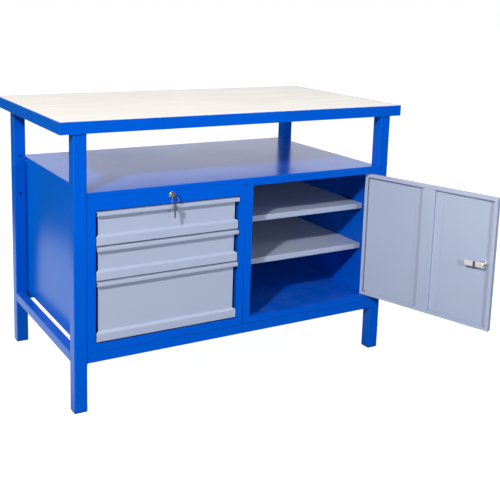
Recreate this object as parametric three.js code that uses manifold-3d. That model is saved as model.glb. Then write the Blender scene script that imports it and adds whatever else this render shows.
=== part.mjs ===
// Steel workbench with a plywood top, a unit of three drawers and a cupboard with one hinged door.
// Millimetres, +Z up, front towards -Y. The sizes below are in a bench frame whose zero is on the floor
// under the middle of the worktop. The finished group is then moved so that its own zero is under the
// middle of the front left foot. The door stands open and the drawers are shut.

import * as THREE from 'three';
import { mergeVertices } from 'three/addons/utils/BufferGeometryUtils.js';
import Module from 'manifold-3d';

const wasm = await Module();
wasm.setup();

// Worktop
const BENCH_WIDTH = 1200;
const BENCH_DEPTH = 640;
const BENCH_HEIGHT = 860;
const EDGE_HEIGHT = 35;
const EDGE_STEEL = 5;
const EDGE_CORNER = 2;

// Square tube legs and stretchers
const LEG_SIZE = 40;
const LEG_WALL = 2;
const LEG_CORNER = 4;
const LEG_INSET_SIDE = 40;
const LEG_INSET_FRONT = 5;
const LEG_HOLE_DIAMETER = 8;
const LEG_HOLE_HEIGHTS = [530, 660];
const STRETCHER_SIZE = 30;
const STRETCHER_WALL = 2;
const STRETCHER_CORNER = 3;
const STRETCHER_TOP = 178;

// Plastic foot plugs pressed into the legs
const FOOT_FLANGE = 3;
const FOOT_SKIRT_HEIGHT = 20;
const FOOT_SKIRT_WALL = 2.2;

// Cabinet of folded sheet between the legs
const SHEET = 1.2;
const BEND_INSIDE = 0.9;
const BEND_SEGMENTS = 3;
const FIT_GAP = 0.3;
const CABINET_TOP = 656;
const TOP_FOLD = 13;
const PANEL_FRONT_FLANGE = 8;
const PANEL_REAR_FLANGE = 15;
const FLOOR_FOLD = 11;
const FLOOR_LIFT = 12;

// Front frames: a plate folded back down both sides, with a collar round its opening
const FRAME_FOLD = 8;
const POST_WIDTH = 25;
const HINGE_POST_WIDTH = 11;
const DRAWER_OPENING_BOTTOM = 204;
const DRAWER_OPENING_TOP = 602;
const DRAWER_COLLAR_DEPTH = 30;
const CUPBOARD_OPENING_BOTTOM = 201;
const CUPBOARD_OPENING_TOP = 631;
const CUPBOARD_COLLAR_DEPTH = 19;

// Shelves on angle brackets
const SHELF_TOPS = { shelf_upper: 510, shelf_lower: 366 };
const SHELF_EDGE = 19;
const SHELF_HEM = 10;
const SHELF_SET_BACK = 72;
const SHELF_REAR_GAP = 12;
const SHELF_SIDE_GAP = 2.5;
const BRACKET_LEG = 20;
const BRACKET_LEDGE = 15;
const BRACKET_STEEL = 1.5;

// Drawers: bottom and top edge of each front
const DRAWERS = {
  drawer_upper: { bottom: 498, top: 598 },
  drawer_middle: { bottom: 394, top: 494 },
  drawer_lower: { bottom: 208, top: 390 },
};
const FRONT_SIDE_GAP = 2.5;
const LIP_HEIGHT = 12;
const LIP_PROUD = 7;
const FACE_RECESS = 8.3;
const STRIP_HEIGHT = 25;
const LEDGE_HEIGHT = 6;
const FACE_NOTCH = 8;
const FACE_RETURN = 20;
const FRONT_FLANGE_DEPTH = 25;
const TRAY_SIDE_GAP = 17;
const TRAY_DEPTH = 530;
const TRAY_LIFT = 6;
const TRAY_DROP = 20;
const TRAY_HEM = 6;

// Drawer runners: an angle on the cabinet wall carries an angle on the tray
const RUNNER_LIFT = 14;
const RUNNER_STEEL = 1.5;
const RUNNER_LENGTH = 580;
const RUNNER_HEIGHT = 28;
const RUNNER_LEDGE = 34;
const RAIL_HEIGHT = 22;
const RAIL_WIDTH = 12;
const RAIL_LENGTH = 515;
const RAIL_CLEARANCE = 0.6;

// Cylinder locks
const LOCK_BEZEL_RADIUS = 10;
const LOCK_BEZEL_PROUD = 3;
const LOCK_BARREL_RADIUS = 8.5;
const LOCK_HOLE_RADIUS = 8.8;
const LOCK_NUT_RADIUS = 12.5;
const LOCK_NUT_THICKNESS = 4.5;
const LOCK_BARREL_DEPTH = 32;
const CORE_RADIUS = 5.8;
const CORE_PROUD = 0.6;
const CORE_CLEARANCE = 0.3;
const DRAWER_LOCK_X = -257;
const DRAWER_LOCK_Z = 628;
const DRAWER_CAM_LENGTH = 38;
const DRAWER_CAM_HALF_WIDTH = 6;
const DRAWER_CAM_STEEL = 2.5;

// Keys on a wire ring
const KEY_STEEL = 2;
const KEY_BOW_RADIUS = 11;
const KEY_BOW_OFFSET = 13;
const KEY_HOLE_RADIUS = 3;
const KEY_HOLE_OFFSET = 7.5;
const KEY_BLADE_HALF = 3.75;
const KEY_BLADE_LENGTH = 23;
const KEY_CUTS = 5;
const KEY_CUT_PITCH = 3.2;
const KEY_CUT_DEPTH = 1.4;
const KEYWAY_GAP = 0.3;
const RING_RADIUS = 10.75;
const RING_WIRE_RADIUS = 0.75;
const RING_PLAY = 0.2;

// Door: a folded pan that turns on two pins
const DOOR_GAP = 2;
const DOOR_HINGE_GAP = 4;
const DOOR_THICKNESS = 16;
const DOOR_FLANGE = 11;
const DOOR_OPEN_DEGREES = 107.4;
const PIVOT_FROM_EDGE = 12;
const PIVOT_FROM_FACE = 8;
const PIN_RADIUS = 3;
const PIN_HOLE_RADIUS = 3.3;
const PIN_INSIDE_DOOR = 12;
const PIN_INSIDE_FRAME = 9;
const PIN_WASHER_RADIUS = 5;
const PIN_WASHER_PLAY = 0.3;
const STIFFENER_LEFT = 240;
const STIFFENER_WEB = 47;
const STIFFENER_FLANGE = 26;
const DOOR_LOCK_FROM_FREE_EDGE = 33;
const DOOR_LOCK_Z = 412;
const DOOR_BARREL_DEPTH = 21.5;
const SHAFT_RADIUS = 4;
const CAM_LENGTH = 57;
const CAM_HALF_WIDTH = 9;
const CAM_CORNER = 4;
const CAM_STEEL = 2.5;
const CAM_CRANK_START = 22;
const CAM_CRANK_END = 29;
const CAM_CRANK_RISE = 4;
const CAM_NUT_RADIUS = 7;
const CAM_NUT_THICKNESS = 4.5;

// Places worked out from the sizes above
const FRONT = -BENCH_DEPTH / 2 + LEG_INSET_FRONT;
const BACK = -FRONT;
const LEG_CENTRE_X = BENCH_WIDTH / 2 - LEG_INSET_SIDE - LEG_SIZE / 2;
const LEG_CENTRE_Y = BACK - LEG_SIZE / 2;
const CABINET_SIDE = LEG_CENTRE_X - LEG_SIZE / 2;
const CABINET_FLOOR = STRETCHER_TOP + FIT_GAP;
const FRAME_TOP = CABINET_TOP - TOP_FOLD - FIT_GAP;
const PANEL_TOP = CABINET_TOP - SHEET - FIT_GAP;
const DRAWER_UNIT = { left: -CABINET_SIDE + FIT_GAP, right: -FIT_GAP };
const CUPBOARD = { left: FIT_GAP, right: CABINET_SIDE - FIT_GAP };
const DRAWER_OPENING = { left: -CABINET_SIDE + POST_WIDTH, right: -POST_WIDTH };
const CUPBOARD_OPENING = { left: POST_WIDTH, right: CABINET_SIDE - HINGE_POST_WIDTH };
const DOOR = {
  left: CUPBOARD_OPENING.left + DOOR_GAP,
  right: CUPBOARD_OPENING.right - DOOR_HINGE_GAP,
  bottom: CUPBOARD_OPENING_BOTTOM + DOOR_GAP,
  top: CUPBOARD_OPENING_TOP - DOOR_GAP,
};
const PIVOT_X = DOOR.right - PIVOT_FROM_EDGE;
const PIVOT_Y = FRONT + PIVOT_FROM_FACE;
const DOOR_LOCK_X = DOOR.left + DOOR_LOCK_FROM_FREE_EDGE;
const KEY_BOW_Y = FRONT - LOCK_BEZEL_PROUD - KEY_BOW_OFFSET;
const KEY_HOLE_Y = KEY_BOW_Y - KEY_HOLE_OFFSET;
const ROUND_SEGMENTS = 24;
const CORNER_SEGMENTS = 3;

// Finishes
const FINISHES = {
  blue_paint: { color: 0x0a57c8, roughness: 0.38, metalness: 0 },
  grey_paint: { color: 0xb0b9d0, roughness: 0.42, metalness: 0 },
  plywood: { color: 0xefe6d6, roughness: 0.7, metalness: 0 },
  black_plastic: { color: 0x1a1b1d, roughness: 0.6, metalness: 0 },
  zinc_steel: { color: 0xb9bcc0, roughness: 0.35, metalness: 1 },
  chrome: { color: 0xdfe2e6, roughness: 0.15, metalness: 1 },
  key_steel: { color: 0x8d8681, roughness: 0.35, metalness: 1 },
};

const bench = new THREE.Group();
const doorGroup = new THREE.Group();

function addPiece(name, geometry, finish, group = bench) {
  const mesh = new THREE.Mesh(geometry, new THREE.MeshStandardMaterial(FINISHES[finish]));
  mesh.name = name;
  group.add(mesh);
}

// Solids for joining and cutting

function toSolid(geometry) {
  const bare = geometry.clone();
  bare.deleteAttribute('normal');
  bare.deleteAttribute('uv');
  const merged = mergeVertices(bare);
  const vertProperties = new Float32Array(merged.attributes.position.array);
  const triVerts = new Uint32Array(merged.index.array);
  return new wasm.Manifold(new wasm.Mesh({ numProp: 3, vertProperties, triVerts }));
}

function toGeometry(solid) {
  const result = solid.getMesh();
  const geometry = new THREE.BufferGeometry();
  geometry.setAttribute('position', new THREE.BufferAttribute(new Float32Array(result.vertProperties), 3));
  geometry.setIndex(new THREE.BufferAttribute(new Uint32Array(result.triVerts), 1));
  geometry.computeVertexNormals();
  return geometry;
}

function join(...geometries) {
  return toGeometry(geometries.map(toSolid).reduce((whole, piece) => whole.add(piece)));
}

function cut(geometry, ...tools) {
  return toGeometry(tools.map(toSolid).reduce((whole, tool) => whole.subtract(tool), toSolid(geometry)));
}

// Basic forms

function block(x, y, z) {
  const geometry = new THREE.BoxGeometry(x[1] - x[0], y[1] - y[0], z[1] - z[0]);
  return geometry.translate((x[0] + x[1]) / 2, (y[0] + y[1]) / 2, (z[0] + z[1]) / 2);
}

function rectangle(x, y) {
  const shape = new THREE.Shape();
  shape.moveTo(x[0], y[0]);
  shape.lineTo(x[1], y[0]);
  shape.lineTo(x[1], y[1]);
  shape.lineTo(x[0], y[1]);
  shape.closePath();
  return shape;
}

function roundedRectangle(width, height, radius) {
  const right = width / 2;
  const top = height / 2;
  const shape = new THREE.Shape();
  shape.absarc(right - radius, top - radius, radius, 0, Math.PI / 2);
  shape.absarc(-right + radius, top - radius, radius, Math.PI / 2, Math.PI);
  shape.absarc(-right + radius, -top + radius, radius, Math.PI, 1.5 * Math.PI);
  shape.absarc(right - radius, -top + radius, radius, 1.5 * Math.PI, 2 * Math.PI);
  shape.closePath();
  return shape;
}

function pierced(outer, ...holes) {
  outer.holes.push(...holes);
  return outer;
}

function roundHole(x, y, radius) {
  return new THREE.Path().absarc(x, y, radius, 0, 2 * Math.PI, true);
}

const SECTION_AXES = {
  x: [new THREE.Vector3(0, 1, 0), new THREE.Vector3(0, 0, 1), new THREE.Vector3(1, 0, 0)],
  y: [new THREE.Vector3(1, 0, 0), new THREE.Vector3(0, 0, 1), new THREE.Vector3(0, -1, 0)],
  z: [new THREE.Vector3(1, 0, 0), new THREE.Vector3(0, 1, 0), new THREE.Vector3(0, 0, 1)],
};

// A section drawn in the plane across an axis, (Y, Z), (X, Z) or (X, Y), and drawn out between two places.
function drawOut(section, axis, from, to, curveSegments = CORNER_SEGMENTS) {
  const geometry = new THREE.ExtrudeGeometry(section, { depth: to - from, bevelEnabled: false, curveSegments });
  geometry.applyMatrix4(new THREE.Matrix4().makeBasis(...SECTION_AXES[axis]));
  const start = new THREE.Vector3(axis === 'x' ? from : 0, axis === 'y' ? to : 0, axis === 'z' ? from : 0);
  return geometry.translate(start.x, start.y, start.z);
}

function squareTube(size, wall, corner) {
  const inside = roundedRectangle(size - 2 * wall, size - 2 * wall, corner - wall);
  return pierced(roundedRectangle(size, size, corner), inside);
}

// Section of a folded sheet: the path of one face, with the sheet's thickness on the left of the path. Each
// corner of the path is bent round the same inside radius.
function foldedSheet(path, thickness = SHEET) {
  const points = path.map(([x, y]) => new THREE.Vector2(x, y));
  const sides = points.slice(1).map((point, index) => {
    const run = point.clone().sub(points[index]).normalize();
    return new THREE.Vector2(-run.y, run.x);
  });
  const origin = new THREE.Vector2();
  const near = [points[0]];
  const far = [points[0].clone().addScaledVector(sides[0], thickness)];
  for (let corner = 1; corner < points.length - 1; corner += 1) {
    const before = sides[corner - 1];
    const after = sides[corner];
    const angle = Math.atan2(before.cross(after), before.dot(after));
    const inset = angle > 0 ? BEND_INSIDE + thickness : -BEND_INSIDE;
    const mitre = before.clone().add(after).divideScalar(1 + before.dot(after));
    const centre = points[corner].clone().addScaledVector(mitre, inset);
    for (let step = 0; step <= BEND_SEGMENTS; step += 1) {
      const side = before.clone().rotateAround(origin, angle * step / BEND_SEGMENTS);
      near.push(centre.clone().addScaledVector(side, -inset));
      far.push(centre.clone().addScaledVector(side, thickness - inset));
    }
  }
  const last = points.length - 1;
  near.push(points[last]);
  far.push(points[last].clone().addScaledVector(sides[last - 1], thickness));
  return new THREE.Shape([...near, ...far.reverse()]);
}

function mirrored(path) {
  return path.map(([x, y]) => [-x, y]).reverse();
}

function shifted(path, along) {
  return path.map(([x, y]) => [x + along, y]);
}

// A turned piece on an axis along Y: rings of [radius, y] round a closed outline.
function turned(outline, x, z) {
  const points = [...outline, outline[0]].map(([radius, y]) => new THREE.Vector2(radius, y));
  return new THREE.LatheGeometry(points, ROUND_SEGMENTS).translate(x, 0, z);
}

function rod(radius, y, x, z, sides = ROUND_SEGMENTS) {
  const geometry = new THREE.CylinderGeometry(radius, radius, y[1] - y[0], sides);
  return geometry.translate(x, (y[0] + y[1]) / 2, z);
}

function uprightRod(radius, z, x, y) {
  const geometry = new THREE.CylinderGeometry(radius, radius, z[1] - z[0], ROUND_SEGMENTS);
  return geometry.rotateX(Math.PI / 2).translate(x, y, (z[0] + z[1]) / 2);
}

// Bench frame

function makeLegs() {
  const top = BENCH_HEIGHT - EDGE_HEIGHT;
  const skirtSize = LEG_SIZE - 2 * LEG_WALL - 2 * FIT_GAP;
  const skirtCorner = LEG_CORNER - LEG_WALL;
  const skirtInside = skirtSize - 2 * FOOT_SKIRT_WALL;
  for (const [row, alongY] of [['front', -1], ['rear', 1]]) {
    for (const [side, alongX] of [['left', -1], ['right', 1]]) {
      const x = alongX * LEG_CENTRE_X;
      const y = alongY * LEG_CENTRE_Y;
      const tube = drawOut(squareTube(LEG_SIZE, LEG_WALL, LEG_CORNER), 'z', FOOT_FLANGE, top).translate(x, y, 0);
      const wallFace = y - LEG_SIZE / 2;
      const drill = [wallFace - LEG_WALL, wallFace + 2 * LEG_WALL];
      const holes = LEG_HOLE_HEIGHTS.map((height) => rod(LEG_HOLE_DIAMETER / 2, drill, x, height));
      addPiece(`leg_${row}_${side}`, row === 'rear' ? cut(tube, ...holes) : tube, 'blue_paint');

      const flange = drawOut(roundedRectangle(LEG_SIZE, LEG_SIZE, LEG_CORNER), 'z', 0, FOOT_FLANGE);
      const skirtHole = roundedRectangle(skirtInside, skirtInside, skirtCorner / 2);
      const skirtRing = pierced(roundedRectangle(skirtSize, skirtSize, skirtCorner), skirtHole);
      const skirt = drawOut(skirtRing, 'z', FOOT_FLANGE / 2, FOOT_FLANGE + FOOT_SKIRT_HEIGHT);
      addPiece(`foot_${row}_${side}`, join(flange, skirt).translate(x, y, 0), 'black_plastic');
    }
  }
}

function makeStretchers() {
  const section = squareTube(STRETCHER_SIZE, STRETCHER_WALL, STRETCHER_CORNER);
  const middleZ = STRETCHER_TOP - STRETCHER_SIZE / 2;
  const crossY = BACK - STRETCHER_SIZE / 2;
  const sideX = LEG_CENTRE_X + LEG_SIZE / 2 - STRETCHER_SIZE / 2;
  const sideEnd = LEG_CENTRE_Y - LEG_SIZE / 2;
  const cross = drawOut(section, 'x', -CABINET_SIDE, CABINET_SIDE);
  const side = drawOut(section, 'y', -sideEnd, sideEnd);
  addPiece('stretcher_front', cross.clone().translate(0, -crossY, middleZ), 'blue_paint');
  addPiece('stretcher_rear', cross.clone().translate(0, crossY, middleZ), 'blue_paint');
  addPiece('stretcher_left', side.clone().translate(-sideX, 0, middleZ), 'blue_paint');
  addPiece('stretcher_right', side.clone().translate(sideX, 0, middleZ), 'blue_paint');
}

function makeWorktop() {
  const bottom = BENCH_HEIGHT - EDGE_HEIGHT;
  const insideWidth = BENCH_WIDTH - 2 * EDGE_STEEL;
  const insideDepth = BENCH_DEPTH - 2 * EDGE_STEEL;
  const outer = () => roundedRectangle(BENCH_WIDTH, BENCH_DEPTH, EDGE_CORNER);
  const boardHole = rectangle([-insideWidth / 2, insideWidth / 2], [-insideDepth / 2, insideDepth / 2]);
  const ledgeX = BENCH_WIDTH / 2 - EDGE_HEIGHT;
  const ledgeY = BENCH_DEPTH / 2 - EDGE_HEIGHT;
  const ledgeHole = rectangle([-ledgeX, ledgeX], [-ledgeY, ledgeY]);
  const rim = drawOut(pierced(outer(), boardHole), 'z', bottom, BENCH_HEIGHT);
  const ledge = drawOut(pierced(outer(), ledgeHole), 'z', bottom, bottom + EDGE_STEEL);
  addPiece('worktop_frame', join(rim, ledge), 'blue_paint');

  const boardX = insideWidth / 2 - FIT_GAP;
  const boardY = insideDepth / 2 - FIT_GAP;
  const board = block([-boardX, boardX], [-boardY, boardY], [bottom + EDGE_STEEL, BENCH_HEIGHT]);
  addPiece('worktop_board', board, 'plywood');
}

// Cabinet

function makeCabinetTop() {
  const foldEnd = CABINET_TOP - TOP_FOLD;
  const path = [[BACK, foldEnd], [BACK, CABINET_TOP], [FRONT, CABINET_TOP], [FRONT, foldEnd]];
  const side = CABINET_SIDE - FIT_GAP;
  addPiece('cabinet_top', drawOut(foldedSheet(path), 'x', -side, side), 'blue_paint');
}

function makeUnitPanels(unit, name) {
  const panelFront = FRONT + FRAME_FOLD + FIT_GAP;
  const panelBack = BACK - 2 * SHEET;
  const width = unit.right - unit.left;
  const middle = (unit.left + unit.right) / 2;
  const sidePath = [
    [-width / 2 + PANEL_REAR_FLANGE, panelBack],
    [-width / 2, panelBack],
    [-width / 2, panelFront],
    [-width / 2 + PANEL_FRONT_FLANGE, panelFront],
  ];
  const leftSection = foldedSheet(shifted(sidePath, middle));
  const rightSection = foldedSheet(shifted(mirrored(sidePath), middle));
  addPiece(`${name}_left_panel`, drawOut(leftSection, 'z', CABINET_FLOOR, PANEL_TOP), 'blue_paint');
  addPiece(`${name}_right_panel`, drawOut(rightSection, 'z', CABINET_FLOOR, PANEL_TOP), 'blue_paint');

  const inside = [unit.left + SHEET + FIT_GAP, unit.right - SHEET - FIT_GAP];
  const backRear = panelBack - SHEET - FIT_GAP;
  const back = block(inside, [backRear - SHEET, backRear], [CABINET_FLOOR, PANEL_TOP]);
  addPiece(`${name}_back_panel`, back, 'blue_paint');

  const floorBack = backRear - SHEET - FIT_GAP;
  const floorFront = panelFront + SHEET + FIT_GAP;
  const floorTop = STRETCHER_TOP + FLOOR_LIFT;
  const foldEnd = floorTop - FLOOR_FOLD;
  const floorPath = [[floorBack, foldEnd], [floorBack, floorTop], [floorFront, floorTop], [floorFront, foldEnd]];
  addPiece(`${name}_floor`, drawOut(foldedSheet(floorPath), 'x', ...inside), 'blue_paint');
}

function frontFrame(unit, opening, bottom, top, collarDepth) {
  const foldEnd = FRONT + FRAME_FOLD;
  const path = [[unit.left, foldEnd], [unit.left, FRONT], [unit.right, FRONT], [unit.right, foldEnd]];
  const plate = drawOut(foldedSheet(path), 'z', CABINET_FLOOR, FRAME_TOP);
  const collarX = [opening.left - SHEET, opening.right + SHEET];
  const collarY = [FRONT, FRONT + collarDepth];
  const collar = block(collarX, collarY, [bottom - SHEET, top + SHEET]);
  const clearY = [FRONT - SHEET, FRONT + collarDepth + SHEET];
  return cut(join(plate, collar), block([opening.left, opening.right], clearY, [bottom, top]));
}

function makeDrawerUnit() {
  makeUnitPanels(DRAWER_UNIT, 'drawer_unit');
  const bottom = DRAWER_OPENING_BOTTOM;
  const frame = frontFrame(DRAWER_UNIT, DRAWER_OPENING, bottom, DRAWER_OPENING_TOP, DRAWER_COLLAR_DEPTH);
  const drill = [FRONT - SHEET, FRONT + 2 * SHEET];
  const lockHole = rod(LOCK_HOLE_RADIUS, drill, DRAWER_LOCK_X, DRAWER_LOCK_Z);
  addPiece('drawer_unit_front_frame', cut(frame, lockHole), 'blue_paint');
}

function makeCupboard() {
  makeUnitPanels(CUPBOARD, 'cupboard');
  const bottom = CUPBOARD_OPENING_BOTTOM;
  const top = CUPBOARD_OPENING_TOP;
  const frame = frontFrame(CUPBOARD, CUPBOARD_OPENING, bottom, top, CUPBOARD_COLLAR_DEPTH);
  const upperHole = uprightRod(PIN_HOLE_RADIUS, [top - SHEET, top + 2 * SHEET], PIVOT_X, PIVOT_Y);
  const lowerHole = uprightRod(PIN_HOLE_RADIUS, [bottom - 2 * SHEET, bottom + SHEET], PIVOT_X, PIVOT_Y);
  addPiece('cupboard_front_frame', cut(frame, upperHole, lowerHole), 'blue_paint');
}

function makeShelves() {
  const wallLeft = CUPBOARD.left + SHEET;
  const wallRight = CUPBOARD.right - SHEET;
  const front = FRONT + SHELF_SET_BACK;
  const back = BACK - SHELF_REAR_GAP;
  const bracketY = [front + SHELF_HEM + SHEET, back - SHELF_HEM];
  for (const [name, top] of Object.entries(SHELF_TOPS)) {
    const edge = top - SHELF_EDGE;
    const path = [[back, edge], [back, top], [front, top], [front, edge], [front + SHELF_HEM, edge]];
    const section = foldedSheet(path);
    const shelf = drawOut(section, 'x', wallLeft + SHELF_SIDE_GAP, wallRight - SHELF_SIDE_GAP);
    addPiece(name, shelf, 'grey_paint');

    const ledgeTop = top - SHEET - FIT_GAP;
    const middle = (wallLeft + wallRight) / 2;
    const wall = (wallRight - wallLeft) / 2;
    const leftPath = [[-wall + BRACKET_LEDGE, ledgeTop], [-wall, ledgeTop], [-wall, ledgeTop - BRACKET_LEG]];
    const left = foldedSheet(shifted(leftPath, middle), BRACKET_STEEL);
    const right = foldedSheet(shifted(mirrored(leftPath), middle), BRACKET_STEEL);
    addPiece(`${name}_bracket_left`, drawOut(left, 'y', ...bracketY), 'zinc_steel');
    addPiece(`${name}_bracket_right`, drawOut(right, 'y', ...bracketY), 'zinc_steel');
  }
}

// Drawers

// What is cut from one end of a drawer front: square under the lip, and sloped down across the ledge.
function frontNotch(outside, end, face, stripTop, underLip) {
  const shape = new THREE.Shape();
  shape.moveTo(outside, stripTop + SHEET);
  shape.lineTo(end, stripTop + SHEET);
  shape.lineTo(face, stripTop + LEDGE_HEIGHT);
  shape.lineTo(face, underLip - SHEET);
  shape.lineTo(outside, underLip - SHEET);
  shape.closePath();
  return drawOut(shape, 'y', FRONT - LIP_PROUD - SHEET, FRONT + FACE_RECESS + 2 * SHEET);
}

function drawerFront(bottom, top) {
  const left = DRAWER_OPENING.left + FRONT_SIDE_GAP;
  const right = DRAWER_OPENING.right - FRONT_SIDE_GAP;
  const rear = FRONT + FRONT_FLANGE_DEPTH;
  const face = FRONT + FACE_RECESS;
  const lip = FRONT - LIP_PROUD;
  const underLip = top - LIP_HEIGHT;
  const stripTop = bottom + STRIP_HEIGHT;
  const path = [
    [rear, top],
    [lip, top],
    [lip, underLip],
    [face, underLip],
    [face, stripTop + LEDGE_HEIGHT],
    [FRONT, stripTop],
    [FRONT, bottom],
    [rear, bottom],
  ];
  const folded = drawOut(foldedSheet(path), 'x', left, right);
  const faceLeft = left + FACE_NOTCH;
  const faceRight = right - FACE_NOTCH;
  const notchLeft = frontNotch(left - SHEET, left, faceLeft, stripTop, underLip);
  const notchRight = frontNotch(right + SHEET, right, faceRight, stripTop, underLip);
  const returnY = [face + SHEET / 2, face + FACE_RETURN];
  const returnZ = [stripTop + LEDGE_HEIGHT, underLip - SHEET];
  const returnLeft = block([faceLeft, faceLeft + SHEET], returnY, returnZ);
  const returnRight = block([faceRight - SHEET, faceRight], returnY, returnZ);
  return join(cut(folded, notchLeft, notchRight), returnLeft, returnRight);
}

function drawerTray(x, bottom, top) {
  const y = [FRONT + FRONT_FLANGE_DEPTH, FRONT + FRONT_FLANGE_DEPTH + TRAY_DEPTH];
  const inset = (range, by) => [range[0] + by, range[1] - by];
  const body = block(x, y, [bottom, top]);
  const hollow = block(inset(x, SHEET), inset(y, SHEET), [bottom + SHEET, top - SHEET]);
  const mouth = block(inset(x, TRAY_HEM), inset(y, TRAY_HEM), [bottom + SHEET, top + SHEET]);
  return cut(body, hollow, mouth);
}

function makeDrawers() {
  const trayX = [DRAWER_OPENING.left + TRAY_SIDE_GAP, DRAWER_OPENING.right - TRAY_SIDE_GAP];
  const middle = (trayX[0] + trayX[1]) / 2;
  const trayHalf = (trayX[1] - trayX[0]) / 2;
  const wallHalf = (DRAWER_UNIT.right - DRAWER_UNIT.left) / 2 - SHEET;
  const runnerY = [FRONT + DRAWER_COLLAR_DEPTH + SHEET, FRONT + DRAWER_COLLAR_DEPTH + SHEET + RUNNER_LENGTH];
  const railStart = FRONT + FRONT_FLANGE_DEPTH + RUNNER_STEEL;
  const railY = [railStart, railStart + RAIL_LENGTH];
  for (const [name, { bottom, top }] of Object.entries(DRAWERS)) {
    addPiece(`${name}_front`, drawerFront(bottom, top), 'grey_paint');
    addPiece(`${name}_tray`, drawerTray(trayX, bottom + TRAY_LIFT, top - TRAY_DROP), 'grey_paint');

    const railBottom = bottom + RUNNER_LIFT;
    const railSide = -trayHalf;
    const railPath = [
      [railSide - RAIL_WIDTH, railBottom],
      [railSide, railBottom],
      [railSide, railBottom + RAIL_HEIGHT],
    ];
    const ledgeTop = railBottom - RAIL_CLEARANCE;
    const ledgeBottom = ledgeTop - RUNNER_STEEL;
    const runnerPath = [
      [-wallHalf, ledgeBottom + RUNNER_HEIGHT],
      [-wallHalf, ledgeBottom],
      [-wallHalf + RUNNER_LEDGE, ledgeBottom],
    ];
    for (const [side, turn] of [['left', (path) => path], ['right', mirrored]]) {
      const rail = foldedSheet(shifted(turn(railPath), middle), RUNNER_STEEL);
      const runner = foldedSheet(shifted(turn(runnerPath), middle), RUNNER_STEEL);
      addPiece(`${name}_rail_${side}`, drawOut(rail, 'y', ...railY), 'zinc_steel');
      addPiece(`${name}_runner_${side}`, drawOut(runner, 'y', ...runnerY), 'zinc_steel');
    }
  }
}

// Locks and keys

function lockBody(x, z, boreRadius, barrelDepth) {
  const face = FRONT - LOCK_BEZEL_PROUD;
  const outline = [
    [boreRadius, face],
    [LOCK_BEZEL_RADIUS - SHEET, face],
    [LOCK_BEZEL_RADIUS, face + SHEET],
    [LOCK_BEZEL_RADIUS, FRONT - FIT_GAP],
    [LOCK_BARREL_RADIUS, FRONT - FIT_GAP],
    [LOCK_BARREL_RADIUS, FRONT + barrelDepth],
    [boreRadius, FRONT + barrelDepth],
  ];
  const nutY = [FRONT + SHEET + FIT_GAP, FRONT + SHEET + FIT_GAP + LOCK_NUT_THICKNESS];
  const nutBore = rod(LOCK_BARREL_RADIUS - SHEET, [nutY[0] - SHEET, nutY[1] + SHEET], x, z);
  const nut = cut(rod(LOCK_NUT_RADIUS, nutY, x, z, 6), nutBore);
  return join(turned(outline, x, z), nut);
}

function keyOutline() {
  const bow = new THREE.Shape().absarc(0, 0, KEY_BOW_RADIUS, 0, 2 * Math.PI);
  return pierced(bow, roundHole(-KEY_HOLE_OFFSET, 0, KEY_HOLE_RADIUS));
}

// A flat key in the (Y, Z) plane with its bow at the origin and its blade along +Y.
function flatKey() {
  const half = KEY_STEEL / 2;
  const bow = drawOut(keyOutline(), 'x', -half, half, ROUND_SEGMENTS / 2);
  const bladeY = [KEY_BOW_RADIUS - SHEET, KEY_BOW_RADIUS + KEY_BLADE_LENGTH];
  const blade = new THREE.Shape();
  blade.moveTo(bladeY[0], -KEY_BLADE_HALF);
  for (let cutNumber = 1; cutNumber <= KEY_CUTS; cutNumber += 1) {
    const middle = KEY_BOW_RADIUS + cutNumber * KEY_CUT_PITCH;
    const depth = cutNumber % 2 ? KEY_CUT_DEPTH : KEY_CUT_DEPTH / 2;
    blade.lineTo(middle - depth, -KEY_BLADE_HALF);
    blade.lineTo(middle, depth - KEY_BLADE_HALF);
    blade.lineTo(middle + depth, -KEY_BLADE_HALF);
  }
  blade.lineTo(bladeY[1] - KEY_BLADE_HALF, -KEY_BLADE_HALF);
  blade.lineTo(bladeY[1], 0);
  blade.lineTo(bladeY[1] - KEY_BLADE_HALF, KEY_BLADE_HALF);
  blade.lineTo(bladeY[0], KEY_BLADE_HALF);
  blade.closePath();
  return join(bow, drawOut(blade, 'x', -half, half));
}

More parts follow.
